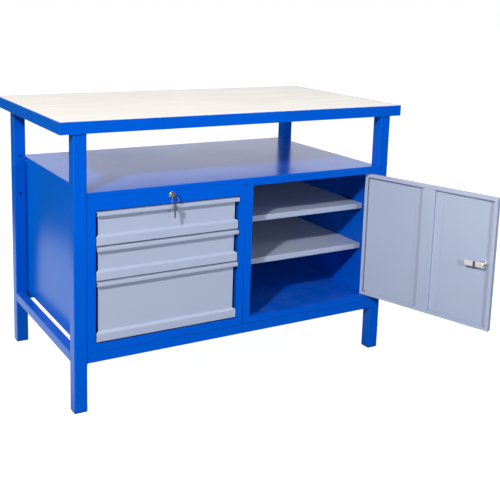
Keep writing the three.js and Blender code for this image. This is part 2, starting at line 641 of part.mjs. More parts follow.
function makeDrawerLock() {
  const x = DRAWER_LOCK_X;
  const z = DRAWER_LOCK_Z;
  const body = lockBody(x, z, CORE_RADIUS + CORE_CLEARANCE, LOCK_BARREL_DEPTH);
  addPiece('drawer_lock_body', body, 'chrome');

  const face = FRONT - LOCK_BEZEL_PROUD - CORE_PROUD;
  const camY = FRONT + LOCK_BARREL_DEPTH + FIT_GAP;
  const plug = rod(CORE_RADIUS, [face, camY + DRAWER_CAM_STEEL], x, z);
  const cam = block(
    [x - DRAWER_CAM_HALF_WIDTH, x + DRAWER_CAM_LENGTH],
    [camY, camY + DRAWER_CAM_STEEL],
    [z - DRAWER_CAM_HALF_WIDTH, z + DRAWER_CAM_HALF_WIDTH],
  );
  const slotHalf = KEY_STEEL / 2 + KEYWAY_GAP;
  const slotTop = KEY_BLADE_HALF + KEYWAY_GAP;
  const slotEnd = KEY_BOW_Y + KEY_BOW_RADIUS + KEY_BLADE_LENGTH + KEYWAY_GAP;
  const keyway = block([x - slotHalf, x + slotHalf], [face - SHEET, slotEnd], [z - slotTop, z + slotTop]);
  addPiece('drawer_lock_core', cut(join(plug, cam), keyway), 'chrome');

  addPiece('drawer_key', flatKey().translate(x, KEY_BOW_Y, z), 'key_steel');

  const ringTop = z - KEY_HOLE_RADIUS + RING_WIRE_RADIUS + RING_PLAY;
  const ringCentre = ringTop - RING_RADIUS;
  const ring = new THREE.TorusGeometry(RING_RADIUS, RING_WIRE_RADIUS, 8, 2 * ROUND_SEGMENTS);
  addPiece('key_ring', ring.rotateX(Math.PI / 2).translate(x, KEY_HOLE_Y, ringCentre), 'chrome');

  const spareHole = ringCentre - RING_RADIUS + RING_WIRE_RADIUS + RING_PLAY - KEY_HOLE_RADIUS;
  const spare = flatKey().rotateX(-Math.PI / 2);
  addPiece('spare_key', spare.translate(x, KEY_HOLE_Y, spareHole - KEY_HOLE_OFFSET), 'key_steel');
}

// Door, drawn shut and then turned open on its pins

function makeDoorPanel() {
  const back = FRONT + DOOR_THICKNESS;
  const outer = () => rectangle([DOOR.left, DOOR.right], [DOOR.bottom, DOOR.top]);
  const inner = (by) => rectangle([DOOR.left + by, DOOR.right - by], [DOOR.bottom + by, DOOR.top - by]);
  const lockHole = roundHole(DOOR_LOCK_X, DOOR_LOCK_Z, LOCK_HOLE_RADIUS);
  const plate = drawOut(pierced(outer(), lockHole), 'y', FRONT, FRONT + SHEET, ROUND_SEGMENTS / 2);
  const returns = drawOut(pierced(outer(), inner(SHEET)), 'y', FRONT, back);
  const flange = drawOut(pierced(outer(), inner(DOOR_FLANGE)), 'y', back - SHEET, back);
  const upperHole = uprightRod(PIN_HOLE_RADIUS, [DOOR.top - 2 * SHEET, DOOR.top + SHEET], PIVOT_X, PIVOT_Y);
  const lowerHole = uprightRod(PIN_HOLE_RADIUS, [DOOR.bottom - SHEET, DOOR.bottom + 2 * SHEET], PIVOT_X, PIVOT_Y);
  addPiece('door_panel', cut(join(plate, returns, flange), upperHole, lowerHole), 'grey_paint', doorGroup);
}

function makeDoorStiffener() {
  const low = FRONT + SHEET + FIT_GAP;
  const high = FRONT + DOOR_THICKNESS - SHEET - FIT_GAP;
  const right = STIFFENER_LEFT + STIFFENER_WEB;
  const path = [
    [right + STIFFENER_FLANGE, low + SHEET],
    [right - SHEET, low + SHEET],
    [right - SHEET, high],
    [STIFFENER_LEFT + SHEET, high],
    [STIFFENER_LEFT + SHEET, low + SHEET],
    [STIFFENER_LEFT - STIFFENER_FLANGE, low + SHEET],
  ];
  const ends = [DOOR.bottom + SHEET + FIT_GAP, DOOR.top - SHEET - FIT_GAP];
  addPiece('door_stiffener', drawOut(foldedSheet(path), 'z', ...ends), 'grey_paint', doorGroup);
}

function makeDoorLock() {
  const x = DOOR_LOCK_X;
  const z = DOOR_LOCK_Z;
  const body = lockBody(x, z, SHAFT_RADIUS + CORE_CLEARANCE, DOOR_BARREL_DEPTH);
  addPiece('door_lock_body', body, 'chrome', doorGroup);

  const camY = FRONT + DOOR_BARREL_DEPTH + FIT_GAP;
  const crankY = camY + CAM_CRANK_RISE;
  const path = [
    [x + CAM_LENGTH, crankY],
    [x + CAM_CRANK_END, crankY],
    [x + CAM_CRANK_START, camY],
    [x - CAM_HALF_WIDTH, camY],
  ].reverse();
  const strip = drawOut(foldedSheet(path, CAM_STEEL), 'z', z - CAM_HALF_WIDTH, z + CAM_HALF_WIDTH);
  const outlineWidth = CAM_LENGTH + CAM_HALF_WIDTH;
  const outline = roundedRectangle(outlineWidth, 2 * CAM_HALF_WIDTH, CAM_CORNER);
  const roundEnds = drawOut(outline, 'y', camY - CAM_STEEL, crankY + 2 * CAM_STEEL);
  const outlineX = x - CAM_HALF_WIDTH + outlineWidth / 2;
  const cam = toGeometry(toSolid(strip).intersect(toSolid(roundEnds.translate(outlineX, 0, z))));
  const shaft = rod(SHAFT_RADIUS, [FRONT - LOCK_BEZEL_PROUD - CORE_PROUD, camY + CAM_STEEL], x, z);
  const nut = rod(CAM_NUT_RADIUS, [camY + CAM_STEEL / 2, camY + CAM_STEEL + CAM_NUT_THICKNESS], x, z, 6);
  const slotHalf = KEY_STEEL / 2;
  const slotY = [FRONT - 2 * LOCK_BEZEL_PROUD, FRONT + LOCK_BEZEL_PROUD];
  const keyway = block([x - slotHalf, x + slotHalf], slotY, [z - SHAFT_RADIUS / 2, z + SHAFT_RADIUS / 2]);
  addPiece('door_lock_cam', cut(join(cam, shaft, nut), keyway), 'chrome', doorGroup);
}

// A pin with a washer that keeps the door clear of the frame.
function hingePin(doorEdge, outwards) {
  const washer = [PIN_WASHER_PLAY, DOOR_GAP - PIN_WASHER_PLAY];
  const outline = [
    [0, -PIN_INSIDE_DOOR],
    [PIN_RADIUS, -PIN_INSIDE_DOOR],
    [PIN_RADIUS, washer[0]],
    [PIN_WASHER_RADIUS, washer[0]],
    [PIN_WASHER_RADIUS, washer[1]],
    [PIN_RADIUS, washer[1]],
    [PIN_RADIUS, PIN_INSIDE_FRAME],
    [0, PIN_INSIDE_FRAME],
  ];
  const points = outline.map(([radius, along]) => new THREE.Vector2(radius, along));
  const pin = new THREE.LatheGeometry(points, ROUND_SEGMENTS);
  return pin.rotateX(outwards * Math.PI / 2).translate(PIVOT_X, PIVOT_Y, doorEdge);
}

function makeDoor() {
  makeDoorPanel();
  makeDoorStiffener();
  makeDoorLock();
  addPiece('hinge_pin_upper', hingePin(DOOR.top, 1), 'zinc_steel', doorGroup);
  addPiece('hinge_pin_lower', hingePin(DOOR.bottom, -1), 'zinc_steel', doorGroup);
  const onPins = new THREE.Group();
  onPins.position.set(PIVOT_X, PIVOT_Y, 0);
  onPins.rotation.z = THREE.MathUtils.degToRad(DOOR_OPEN_DEGREES);
  doorGroup.position.set(-PIVOT_X, -PIVOT_Y, 0);
  onPins.add(doorGroup);
  bench.add(onPins);
}

makeLegs();
makeStretchers();
makeWorktop();
makeCabinetTop();
makeDrawerUnit();
makeCupboard();
makeShelves();
makeDrawers();
makeDrawerLock();
makeDoor();
bench.position.set(LEG_CENTRE_X, LEG_CENTRE_Y, 0);

export default bench;
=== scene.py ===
# A steel workbench: welded square tube frame, plywood top in an angle edge, and a sheet cabinet between the
# legs with three drawers on the left and a cupboard with one open door on the right. Metres, +Z up, front
# towards -Y, zero under the front left foot.

import math

import bpy
from mathutils import Matrix, Vector


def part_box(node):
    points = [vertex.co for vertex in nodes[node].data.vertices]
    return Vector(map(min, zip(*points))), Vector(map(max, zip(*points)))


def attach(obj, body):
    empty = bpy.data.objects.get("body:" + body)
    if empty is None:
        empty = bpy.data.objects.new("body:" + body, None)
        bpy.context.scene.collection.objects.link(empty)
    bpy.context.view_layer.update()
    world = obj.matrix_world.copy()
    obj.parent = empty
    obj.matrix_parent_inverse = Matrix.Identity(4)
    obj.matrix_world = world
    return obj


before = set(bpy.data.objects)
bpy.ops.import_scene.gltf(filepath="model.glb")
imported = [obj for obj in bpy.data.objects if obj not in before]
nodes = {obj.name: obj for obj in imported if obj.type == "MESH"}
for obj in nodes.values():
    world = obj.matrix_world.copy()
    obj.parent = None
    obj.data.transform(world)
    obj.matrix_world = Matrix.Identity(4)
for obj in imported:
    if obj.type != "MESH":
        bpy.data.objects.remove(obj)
bpy.context.view_layer.update()


# Legs and stretchers.
# Cold-formed square steel tube, cut square and welded, then powder coated blue as one frame.
# The tube corners are rolled, so they catch a thin line of light along their whole length.

def joined_skin_tree():
    """A node tree that joins a solid's loose triangles and shades them as one smooth skin."""
    tree = bpy.data.node_groups.new("joined skin", "GeometryNodeTree")
    tree.interface.new_socket("Geometry", in_out="INPUT", socket_type="NodeSocketGeometry")
    tree.interface.new_socket("Geometry", in_out="OUTPUT", socket_type="NodeSocketGeometry")
    start = tree.nodes.new("NodeGroupInput")
    bare = tree.nodes.new("GeometryNodeRemoveAttribute")
    bare.inputs["Name"].default_value = "custom_normal"
    joined = tree.nodes.new("GeometryNodeMergeByDistance")
    joined.inputs["Distance"].default_value = 0.00001
    faces = tree.nodes.new("GeometryNodeSetShadeSmooth")
    faces.domain = "FACE"
    edges = tree.nodes.new("GeometryNodeSetShadeSmooth")
    edges.domain = "EDGE"
    end = tree.nodes.new("NodeGroupOutput")
    for before, after in zip((start, bare, joined, faces, edges), (bare, joined, faces, edges, end)):
        tree.links.new(before.outputs[0], after.inputs[0])
    return tree


joined_skin = joined_skin_tree()


def soften_edges(names, radius, segments=2):
    """Breaks the sharp edges of solids by a small radius, as paint, rolling or a file leaves them."""
    for name in names:
        piece = nodes[name]
        piece.modifiers.new("joined skin", "NODES").node_group = joined_skin
        flat = piece.modifiers.new("flat faces", "DECIMATE")
        flat.decimate_type = "DISSOLVE"
        flat.angle_limit = math.radians(0.5)
        edge = piece.modifiers.new("broken edge", "BEVEL")
        edge.width = radius
        edge.segments = segments
        edge.limit_method = "ANGLE"
        edge.angle_limit = math.radians(40)
        shading = piece.modifiers.new("even shading", "WEIGHTED_NORMAL")
        shading.mode = "FACE_AREA"
        shading.weight = 60


def fill_socket(tree, socket, content):
    """Links a socket to another node's output, or sets its value."""
    if isinstance(content, bpy.types.NodeSocket):
        tree.links.new(content, socket)
    else:
        socket.default_value = content


def add_node(tree, kind, **contents):
    """A node with its settings and sockets filled. A socket's name is given with _ for a space."""
    made = tree.nodes.new(kind)
    for name, content in contents.items():
        socket = made.inputs.get(name.replace("_", " "))
        if socket is None:
            setattr(made, name, content)
        else:
            fill_socket(tree, socket, content)
    return made


def calculate(tree, operation, *numbers, clamped=False):
    """The result of one sum of numbers or sockets."""
    made = add_node(tree, "ShaderNodeMath", operation=operation, use_clamp=clamped)
    for socket, number in zip(made.inputs, numbers):
        fill_socket(tree, socket, number)
    return made.outputs[0]


def rescale(tree, number, given, wanted):
    """A number moved from one range to another and held inside it."""
    made = add_node(
        tree,
        "ShaderNodeMapRange",
        Value=number,
        From_Min=given[0],
        From_Max=given[1],
        To_Min=wanted[0],
        To_Max=wanted[1],
    )
    return made.outputs["Result"]


def mix_colours(tree, share, first, second):
    """Two colours, or sockets of colour, mixed by the share of the second."""
    first_socket, second_socket, mixed_socket = 6, 7, 2
    made = add_node(tree, "ShaderNodeMix", data_type="RGBA", Factor=share)
    fill_socket(tree, made.inputs[first_socket], first)
    fill_socket(tree, made.inputs[second_socket], second)
    return made.outputs[mixed_socket]


def object_place(tree):
    """The place on the piece, in metres."""
    return add_node(tree, "ShaderNodeTexCoord").outputs["Object"]


def noise(tree, place, scale, detail, roughness, distortion=0.0):
    """Cloudy noise between 0 and 1. One over the scale is about the size of a cloud."""
    made = add_node(
        tree,
        "ShaderNodeTexNoise",
        Vector=place,
        Scale=scale,
        Detail=detail,
        Roughness=roughness,
        Distortion=distortion,
    )
    return made.outputs["Fac"]


def bump(tree, height, depth, strength=1.0):
    """A normal tilted by a height between 0 and 1 that stands for a depth in metres."""
    made = add_node(tree, "ShaderNodeBump", Height=height, Distance=depth, Strength=strength)
    return made.outputs["Normal"]


def new_group(name, inputs, outputs):
    """An empty shader node group, with the sockets that come in and those that go out."""
    tree = bpy.data.node_groups.new(name, "ShaderNodeTree")
    for label, kind, value in inputs:
        tree.interface.new_socket(label, in_out="INPUT", socket_type=kind).default_value = value
    for label, kind in outputs:
        tree.interface.new_socket(label, in_out="OUTPUT", socket_type=kind)
    return tree, tree.nodes.new("NodeGroupInput").outputs, tree.nodes.new("NodeGroupOutput").inputs


def paint_film_group():
    """Baked powder paint: a fine orange-peel skin, with a slow drift of tone and gloss."""
    tree, given, result = new_group(
        "paint film",
        [
            ("Colour", "NodeSocketColor", (0.5, 0.5, 0.5, 1)),
            ("Thin Colour", "NodeSocketColor", (0.4, 0.4, 0.4, 1)),
            ("Gloss Roughness", "NodeSocketFloat", 0.35),
            ("Peel Scale", "NodeSocketFloat", 700.0),
            ("Peel Depth", "NodeSocketFloat", 0.00003),
        ],
        [("Colour", "NodeSocketColor"), ("Roughness", "NodeSocketFloat"), ("Normal", "NodeSocketVector")],
    )
    place = object_place(tree)
    drift = noise(tree, place, scale=2.6, detail=2.0, roughness=0.5)
    speckle = noise(tree, place, scale=260.0, detail=3.0, roughness=0.6)
    speckle_share = 0.35
    uneven = calculate(tree, "MULTIPLY_ADD", speckle, speckle_share, drift)
    thin = rescale(tree, uneven, given=(0.35, 1.0), wanted=(0.0, 1.0))
    matt = rescale(tree, uneven, given=(0.3, 1.1), wanted=(-0.04, 0.07))
    peel = noise(tree, place, scale=given["Peel Scale"], detail=1.0, roughness=0.4)
    tone = mix_colours(tree, thin, given["Colour"], given["Thin Colour"])
    gloss = calculate(tree, "ADD", matt, given["Gloss Roughness"], clamped=True)
    fill_socket(tree, result["Colour"], tone)
    fill_socket(tree, result["Roughness"], gloss)
    fill_socket(tree, result["Normal"], bump(tree, peel, depth=given["Peel Depth"]))
    return tree


def settled_dust_group():
    """A mask of fine dust that lies on faces turned up, in soft uneven patches."""
    tree, given, result = new_group(
        "settled dust",
        [("Amount", "NodeSocketFloat", 0.2), ("Patch Scale", "NodeSocketFloat", 9.0)],
        [("Mask", "NodeSocketFloat")],
    )
    facing = add_node(tree, "ShaderNodeNewGeometry").outputs["Normal"]
    upwards = add_node(tree, "ShaderNodeSeparateXYZ", Vector=facing).outputs["Z"]
    level = rescale(tree, upwards, given=(0.5, 1.0), wanted=(0.0, 1.0))
    clouds = noise(tree, object_place(tree), scale=given["Patch Scale"], detail=5.0, roughness=0.65)
    patches = rescale(tree, clouds, given=(0.42, 0.75), wanted=(0.0, 1.0))
    lying = calculate(tree, "MULTIPLY", level, patches)
    fill_socket(tree, result["Mask"], calculate(tree, "MULTIPLY", lying, given["Amount"], clamped=True))
    return tree


paint_film = paint_film_group()
settled_dust = settled_dust_group()


def new_material(name):
    """A material with its own surface shader, ready for links."""
    material = bpy.data.materials.new(name)
    material.use_nodes = True
    return material, material.node_tree, material.node_tree.nodes["Principled BSDF"]


def dress_surface(tree, surface, colour, roughness, normal):
    """Links what varies over a piece to its surface shader."""
    tree.links.new(colour, surface.inputs["Base Color"])
    tree.links.new(roughness, surface.inputs["Roughness"])
    tree.links.new(normal, surface.inputs["Normal"])


def powder_paint(name, colour, thin_colour, sheen, roughness, dust_amount):
    """Powder paint of one colour over steel, with a trace of dust on what faces up."""
    material, tree, surface = new_material(name)
    film = add_node(
        tree,
        "ShaderNodeGroup",
        node_tree=paint_film,
        Colour=colour,
        Thin_Colour=thin_colour,
        Gloss_Roughness=roughness,
    ).outputs
    dust = add_node(tree, "ShaderNodeGroup", node_tree=settled_dust, Amount=dust_amount).outputs["Mask"]
    dust_colour = (0.62, 0.61, 0.60, 1)
    dust_roughness = 0.5
    tone = mix_colours(tree, dust, film["Colour"], dust_colour)
    gloss = calculate(tree, "MULTIPLY_ADD", dust, dust_roughness, film["Roughness"], clamped=True)
    dress_surface(tree, surface, tone, gloss, film["Normal"])
    surface.inputs["Specular Tint"].default_value = sheen
    return material


def finish_in(material, names):
    """Gives solids their finish."""
    for name in names:
        nodes[name].data.materials.clear()
        nodes[name].data.materials.append(material)


blue_paint = powder_paint(
    "blue powder paint",
    colour=(0.0, 0.100, 0.60, 1),
    thin_colour=(0.0, 0.088, 0.54, 1),
    sheen=(0.10, 0.50, 1.0, 1),
    roughness=0.20,
    dust_amount=0.04,
)
corners = ("front_left", "front_right", "rear_left", "rear_right")
tubes = [f"leg_{corner}" for corner in corners]
tubes += [f"stretcher_{side}" for side in ("front", "rear", "left", "right")]
soften_edges(tubes, radius=0.0004)
finish_in(blue_paint, tubes)


# Welds.
# Short fillet beads laid by hand with a wire gun where tubes and cabinet meet, painted over with the frame.
# The seam in the left worktop edge is ground almost flat.

def grow(name, mesh, tree, **sizes):
    """Runs a node tree on a bare mesh and keeps what comes out as a plain piece."""
    seed = bpy.data.objects.new(f"{name}_seed", mesh)
    bpy.context.scene.collection.objects.link(seed)
    grown = seed.modifiers.new("grown", "NODES")
    grown.node_group = tree
    for socket in tree.interface.items_tree:
        label = socket.name.replace(" ", "_")
        if socket.in_out == "INPUT" and label in sizes:
            grown[socket.identifier] = sizes[label]
    seen = seed.evaluated_get(bpy.context.evaluated_depsgraph_get())
    piece = bpy.data.objects.new(name, bpy.data.meshes.new_from_object(seen))
    bpy.data.objects.remove(seed)
    bpy.context.scene.collection.objects.link(piece)
    return piece


def growing_tree(name, inputs):
    """An empty geometry node tree with a mesh going in and out, and named sizes."""
    tree = bpy.data.node_groups.new(name, "GeometryNodeTree")
    tree.interface.new_socket("Geometry", in_out="INPUT", socket_type="NodeSocketGeometry")
    tree.interface.new_socket("Geometry", in_out="OUTPUT", socket_type="NodeSocketGeometry")
    for label, kind in inputs:
        tree.interface.new_socket(label, in_out="INPUT", socket_type=kind)
    return tree, tree.nodes.new("NodeGroupInput").outputs, tree.nodes.new("NodeGroupOutput").inputs


def weld_tree():
    """A rippled bead along each line of a wire mesh, thinner at its two ends."""
    tree, given, result = growing_tree(
        "weld bead",
        [
            ("Bead Radius", "NodeSocketFloat"),
            ("Ripple Pitch", "NodeSocketFloat"),
            ("Ripple Depth", "NodeSocketFloat"),
            ("Finish", "NodeSocketMaterial"),
        ],
    )
    steps_per_ripple = 6.0
    end_thickness = 0.3
    end_roundness = 0.4
    line = add_node(tree, "GeometryNodeMeshToCurve", Mesh=given["Geometry"])
    step = calculate(tree, "DIVIDE", given["Ripple Pitch"], steps_per_ripple)
    fine = add_node(tree, "GeometryNodeResampleCurve", mode="LENGTH", Curve=line.outputs[0], Length=step)
    place = add_node(tree, "GeometryNodeSplineParameter").outputs
    ripples = calculate(tree, "DIVIDE", place["Length"], given["Ripple Pitch"])
    wave = calculate(tree, "SINE", calculate(tree, "MULTIPLY", ripples, math.tau))
    ripple = calculate(tree, "ADD", calculate(tree, "MULTIPLY", wave, given["Ripple Depth"]), 1.0)
    arch = calculate(tree, "SINE", calculate(tree, "MULTIPLY", place["Factor"], math.pi))
    full = calculate(tree, "POWER", arch, end_roundness)
    taper = calculate(tree, "ADD", calculate(tree, "MULTIPLY", full, 1.0 - end_thickness), end_thickness)
    thickness = calculate(tree, "MULTIPLY", calculate(tree, "MULTIPLY", ripple, taper), given["Bead Radius"])
    ring = add_node(tree, "GeometryNodeCurvePrimitiveCircle", Resolution=14, Radius=1.0)
    bead = add_node(
        tree,
        "GeometryNodeCurveToMesh",
        Curve=fine.outputs[0],
        Profile_Curve=ring.outputs[0],
        Scale=thickness,
        Fill_Caps=True,
    )
    smooth = add_node(tree, "GeometryNodeSetShadeSmooth", Geometry=bead.outputs[0])
    real = add_node(tree, "GeometryNodeRealizeInstances", Geometry=smooth.outputs[0])
    done = add_node(tree, "GeometryNodeSetMaterial", Geometry=real.outputs[0], Material=given["Finish"])
    tree.links.new(done.outputs[0], result[0])
    return tree


def wire_mesh(name, lines):
    """A mesh of loose lines, each from one point to another."""
    mesh = bpy.data.meshes.new(name)
    points = [point for line in lines for point in line]
    mesh.from_pydata(points, [(2 * number, 2 * number + 1) for number in range(len(lines))], [])
    return mesh


def weld_lines():
    """Corners where the frame is welded: leg tops, stretcher ends, and tacks on the cabinet."""
    lines = []
    margin, lift = 0.003, 0.0006
    top_lo, top_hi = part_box("worktop_frame")
    flange = 0.035
    for corner in corners:
        lo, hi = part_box(f"leg_{corner}")
        in_front = corner.startswith("front")
        y_from = max(lo.y, top_lo.y if in_front else top_hi.y - flange)
        y_to = min(hi.y, top_lo.y + flange if in_front else top_hi.y)
        for x in (lo.x - lift, hi.x + lift):
            lines.append(((x, y_from + margin, hi.z - lift), (x, y_to - margin, hi.z - lift)))
    for side in ("left", "right"):
        lo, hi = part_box(f"stretcher_{side}")
        for y in (lo.y + lift, hi.y - lift):
            for z in (lo.z - lift, hi.z + lift):
                lines.append(((lo.x + margin, y, z), (hi.x - margin, y, z)))
    for side in ("front", "rear"):
        lo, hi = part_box(f"stretcher_{side}")
        for x in (lo.x + lift, hi.x - lift):
            lines.append(((x, lo.y + margin, lo.z - lift), (x, hi.y - margin, lo.z - lift)))
    shell_lo, shell_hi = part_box("cabinet_top")
    tack, below_top = 0.014, 0.008
    tack_heights = (shell_hi.z - below_top - tack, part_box("drawer_unit_left_panel")[0].z + tack)
    behind_front_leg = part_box("leg_front_left")[1].y + lift
    before_rear_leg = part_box("leg_rear_left")[0].y - lift
    for x in (shell_lo.x - lift, shell_hi.x + lift):
        for y in (behind_front_leg, before_rear_leg):
            for z in tack_heights:
                lines.append(((x, y, z), (x, y, z + tack)))
    return lines


bead = weld_tree()
frame_welds = grow(
    "frame_welds",
    wire_mesh("weld lines", weld_lines()),
    bead,
    Bead_Radius=0.0026,
    Ripple_Pitch=0.0024,
    Ripple_Depth=0.10,
    Finish=blue_paint,
)
edge_lo, edge_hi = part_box("worktop_frame")
seam_x, seam_y = edge_lo.x + 0.0012, 0.306
seam_margin = 0.001
seam = ((seam_x, seam_y, edge_lo.z + seam_margin), (seam_x, seam_y, edge_hi.z - seam_margin))
edge_seam = grow(
    "worktop_edge_seam",
    wire_mesh("seam line", [seam]),
    bead,
    Bead_Radius=0.0016,
    Ripple_Pitch=0.0040,
    Ripple_Depth=0.05,
    Finish=blue_paint,
)
for weld in (frame_welds, edge_seam):
    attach(weld, "bench")


# Foot plugs.
# Moulded black plastic caps pressed into the open lower ends of the legs. Each has a thin flange that stands
# on the floor.

def moulded_plastic(name, colour, roughness):
    """Moulded plastic with a fine spark-eroded grain and paler scuffs."""
    material, tree, surface = new_material(name)
    place = object_place(tree)
    grain = noise(tree, place, scale=1500.0, detail=2.0, roughness=0.6)
    scuffs = noise(tree, place, scale=70.0, detail=4.0, roughness=0.7)
    scuff_lift = 1.7
    scuff_colour = tuple(min(1.0, scuff_lift * part) for part in colour[:3]) + (1,)
    tone = mix_colours(tree, scuffs, colour, scuff_colour)
    matt = rescale(tree, scuffs, given=(0.0, 1.0), wanted=(roughness - 0.1, roughness + 0.12))
    dress_surface(tree, surface, tone, matt, bump(tree, grain, depth=0.00004))
    return material


black_plastic = moulded_plastic("black plastic", (0.012, 0.012, 0.014, 1), roughness=0.55)
plugs = [f"foot_{corner}" for corner in corners]
soften_edges(plugs, radius=0.0006)
finish_in(black_plastic, plugs)


# Worktop edge.
# Rolled steel angle cut at 45 degrees and welded at the corners, then painted with the frame. Rolling leaves
# its outer edges rounder than those of the tubes.

soften_edges(["worktop_frame"], radius=0.0012, segments=3)
finish_in(blue_paint, ["worktop_frame"])


# Worktop board.
# Pale birch plywood with a sanded face veneer, laid into the angle edge and left unpainted. The grain runs
# along the bench.

def colour_ramp(tree, share, low, low_colour, high, high_colour):
    """A colour that changes between two shares."""
    made = add_node(tree, "ShaderNodeValToRGB", Fac=share)
    for stop, position, colour in zip(made.color_ramp.elements, (low, high), (low_colour, high_colour)):
        stop.position = position
        stop.color = colour
    return made.outputs["Color"]


def sanded_birch(name):
    """Rotary-cut birch veneer: long wavering figure along the board and short dark pores."""
    material, tree, surface = new_material(name)
    place = object_place(tree)
    figure_place = add_node(tree, "ShaderNodeMapping", Vector=place, Scale=(0.9, 9.0, 9.0)).outputs["Vector"]
    figure = noise(tree, figure_place, scale=2.4, detail=5.0, roughness=0.55, distortion=1.6)
    fibre_place = add_node(tree, "ShaderNodeMapping", Vector=place, Scale=(10.0, 420.0, 420.0)).outputs["Vector"]
    fibres = noise(tree, fibre_place, scale=1.0, detail=4.0, roughness=0.6)
    clouds = noise(tree, place, scale=5.0, detail=6.0, roughness=0.65)
    veneer = colour_ramp(
        tree, figure, low=0.30, low_colour=(0.80, 0.75, 0.69, 1), high=0.62, high_colour=(0.88, 0.85, 0.81, 1)
    )
    stain_colour = (0.74, 0.68, 0.61, 1)
    stain = rescale(tree, clouds, given=(0.45, 0.8), wanted=(0.0, 0.35))
    pore_colour = (0.62, 0.53, 0.44, 1)
    pores = rescale(tree, fibres, given=(0.56, 0.78), wanted=(0.0, 0.22))
    tone = mix_colours(tree, pores, mix_colours(tree, stain, veneer, stain_colour), pore_colour)
    matt = rescale(tree, fibres, given=(0.0, 1.0), wanted=(0.5, 0.75))
    dress_surface(tree, surface, tone, matt, bump(tree, fibres, depth=0.00015, strength=0.6))
    return material


birch = sanded_birch("sanded birch plywood")
soften_edges(["worktop_board"], radius=0.0008)
finish_in(birch, ["worktop_board"])


# Cabinet shell.
# Panels, floors and front frames folded from 1.2 mm sheet steel, joined into two boxes under one top sheet,
# and powder coated in the blue of the frame. A thin dark bead in the joint on the front stretcher is painted
# shade: it stands in for the shadow in the gap between the cabinet and the stretcher.

shell = ["cabinet_top"]
for unit in ("drawer_unit", "cupboard"):
    shell += [f"{unit}_{part}" for part in ("left_panel", "right_panel", "back_panel", "floor", "front_frame")]
soften_edges(shell, radius=0.00045)
finish_in(blue_paint, shell)

joint_lo, joint_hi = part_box("stretcher_front")
joint_z = joint_hi.z + 0.00015
joint_y = joint_lo.y + 0.0002
joint_margin = 0.001
joint = ((joint_lo.x + joint_margin, joint_y, joint_z), (joint_hi.x - joint_margin, joint_y, joint_z))
# The dark bead is painted shade: it stands in for the shadow in the gap above the front stretcher.
joint_shadow_bead = grow(
    "cabinet_joint",
    wire_mesh("joint line", [joint]),
    bead,
    Bead_Radius=0.0006,
    Ripple_Pitch=0.03,
    Ripple_Depth=0.05,
    Finish=moulded_plastic("painted joint shadow", (0.0, 0.004, 0.02, 1), roughness=0.8),
)
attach(joint_shadow_bead, "bench")


# Shelves and their brackets.
# Grey painted trays of folded sheet that lie loose on zinc plated angle brackets. Blind rivets hold the
# brackets to the cupboard's walls, and one more rivet sits in the cupboard's floor.

grey_paint = powder_paint(
    "grey powder paint",
    colour=(0.408, 0.450, 0.568, 1),
    thin_colour=(0.376, 0.420, 0.538, 1),
    sheen=(0.8, 0.88, 1.0, 1),
    roughness=0.38,
    dust_amount=0.03,
)


def zinc_plate(name):
    """Bright zinc on steel: a faint blue and straw bloom in small cloudy patches."""
    material, tree, surface = new_material(name)
    place = object_place(tree)
    bloom = noise(tree, place, scale=26.0, detail=4.0, roughness=0.6)
    drawn = noise(tree, place, scale=1100.0, detail=2.0, roughness=0.5)
    tone = colour_ramp(
        tree, bloom, low=0.32, low_colour=(0.52, 0.55, 0.60, 1), high=0.70, high_colour=(0.66, 0.64, 0.58, 1)
    )
    matt = rescale(tree, bloom, given=(0.0, 1.0), wanted=(0.28, 0.48))
    dress_surface(tree, surface, tone, matt, bump(tree, drawn, depth=0.00002))
    surface.inputs["Metallic"].default_value = 1.0
    return material


zinc = zinc_plate("zinc plated steel")
shelves = ["shelf_upper", "shelf_lower"]
brackets = [f"{shelf}_bracket_{side}" for shelf in shelves for side in ("left", "right")]
soften_edges(shelves, radius=0.00045)
soften_edges(brackets, radius=0.0004)
finish_in(grey_paint, shelves)
finish_in(zinc, brackets)


def rivet_tree():
    """A low domed rivet head on each point of a mesh, turned to the point's own direction."""
    tree, given, result = growing_tree(
        "rivet heads",
        [
            ("Head Radius", "NodeSocketFloat"),
            ("Head Height", "NodeSocketFloat"),
            ("Finish", "NodeSocketMaterial"),
        ],
    )
    dome = add_node(tree, "GeometryNodeMeshUVSphere", Segments=20, Rings=10, Radius=1.0)
    outwards = add_node(tree, "GeometryNodeInputNamedAttribute", data_type="FLOAT_VECTOR", Name="outwards")
    turn = add_node(tree, "FunctionNodeAlignRotationToVector", axis="Z", Vector=outwards.outputs[0])
    size = add_node(
        tree, "ShaderNodeCombineXYZ", X=given["Head Radius"], Y=given["Head Radius"], Z=given["Head Height"]
    )
    heads = add_node(
        tree,
        "GeometryNodeInstanceOnPoints",
        Points=given["Geometry"],
        Instance=dome.outputs["Mesh"],
        Rotation=turn.outputs[0],
        Scale=size.outputs[0],
    )
    real = add_node(tree, "GeometryNodeRealizeInstances", Geometry=heads.outputs[0])
    smooth = add_node(tree, "GeometryNodeSetShadeSmooth", Geometry=real.outputs[0])
    done = add_node(tree, "GeometryNodeSetMaterial", Geometry=smooth.outputs[0], Material=given["Finish"])
    tree.links.new(done.outputs[0], result[0])
    return tree


rivet = rivet_tree()


def rivet_row(name, places, body):
    """Zinc plated blind rivets at places given as point and direction, all on one body."""
    mesh = bpy.data.meshes.new(f"{name} points")
    mesh.from_pydata([point for point, outwards in places], [], [])
    facing = mesh.attributes.new("outwards", "FLOAT_VECTOR", "POINT")
    for number, (point, outwards) in enumerate(places):
        facing.data[number].vector = outwards
    heads = grow(name, mesh, rivet, Head_Radius=0.0033, Head_Height=0.0011, Finish=zinc)
    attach(heads, body)


def spread(lo, hi, count):
    """Evenly spread places between two ends, kept off the ends by half a step."""
    return [lo + (hi - lo) * (number + 0.5) / count for number in range(count)]


